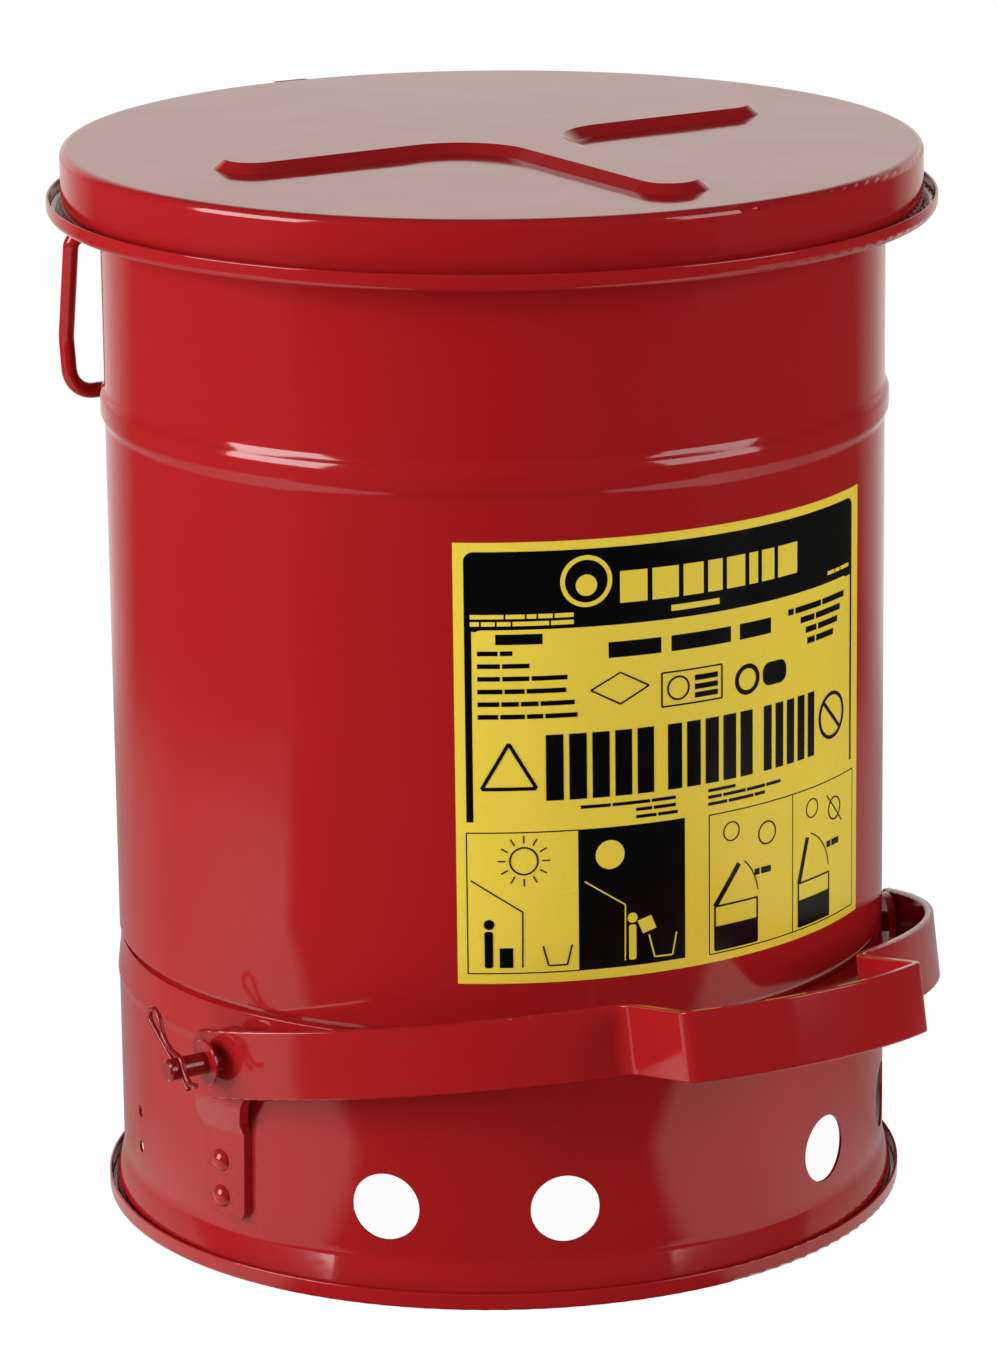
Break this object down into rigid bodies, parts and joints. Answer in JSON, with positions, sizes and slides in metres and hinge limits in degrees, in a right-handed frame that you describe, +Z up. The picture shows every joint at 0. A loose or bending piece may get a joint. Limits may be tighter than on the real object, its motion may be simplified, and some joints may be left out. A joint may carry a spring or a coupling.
{
  "type": "oily waste can",
  "caption": "Round steel can for oily rags with a vented base skirt, a foot strap, a rear lifting rod and yoke, and a self-closing hinged lid.",
  "frame": {"origin": "on the can's vertical axis, at the floor it stands on", "axes": "+Z up; the pedal is at the front, towards -Y; +X is the can's right side seen from the front"},
  "size_m": [0.3387, 0.4005, 0.4065],
  "materials": {
    "red_enamel": "gloss",
    "label_film": "satin"
  },
  "bodies": {
    "can": {"body_shell": "red_enamel", "base_skirt": "red_enamel", "bottom_pan": "red_enamel", "label": "label_film", "left_pivot_bracket": "red_enamel", "right_pivot_bracket": "red_enamel", "left_bracket_rivets": "red_enamel", "right_bracket_rivets": "red_enamel", "hinge_bracket": "red_enamel", "hinge_bracket_rivets": "red_enamel", "hinge_pin": "red_enamel", "hinge_pin_clips": "red_enamel", "lower_rod_guide": "red_enamel", "upper_rod_guide": "red_enamel", "rod_guide_rivets": "red_enamel"},
    "pedal": {"pedal_strap": "red_enamel", "pivot_shaft": "red_enamel", "lift_arm": "red_enamel", "lift_arm_pin": "red_enamel", "left_washer": "red_enamel", "right_washer": "red_enamel", "r_clip": "red_enamel"},
    "lifter": {"lift_rod": "red_enamel", "rod_pin": "red_enamel", "rod_pin_clip": "red_enamel", "lift_yoke": "red_enamel", "yoke_clamp": "red_enamel", "clamp_screws": "red_enamel"},
    "lid": {"lid": "red_enamel", "lid_hinge_strap": "red_enamel", "left_lift_tab": "red_enamel", "right_lift_tab": "red_enamel"}
  },
  "joints": [
    {"name": "lid_hinge", "type": "hinge", "parent": "can", "child": "lid", "pos_m": [0, 0.172, 0.384], "axis": [-1, 0, 0], "range_deg": [0, 60]},
    {"name": "pedal_hinge", "type": "hinge", "parent": "can", "child": "pedal", "pos_m": [0, -0.05, 0.0877], "axis": [1, 0, 0], "range_deg": [0, 13.35]},
    {"name": "lift_slide", "type": "slide", "parent": "can", "child": "lifter", "axis": [0, 0, 1], "range_m": [0, 0.0508]}
  ],
  "couplings": [
    {"joint": "pedal_hinge", "follows": "lid_hinge", "ratio": 0.2225},
    {"joint": "lift_slide", "follows": "lid_hinge", "m_per_rad": 0.048509}
  ]
}
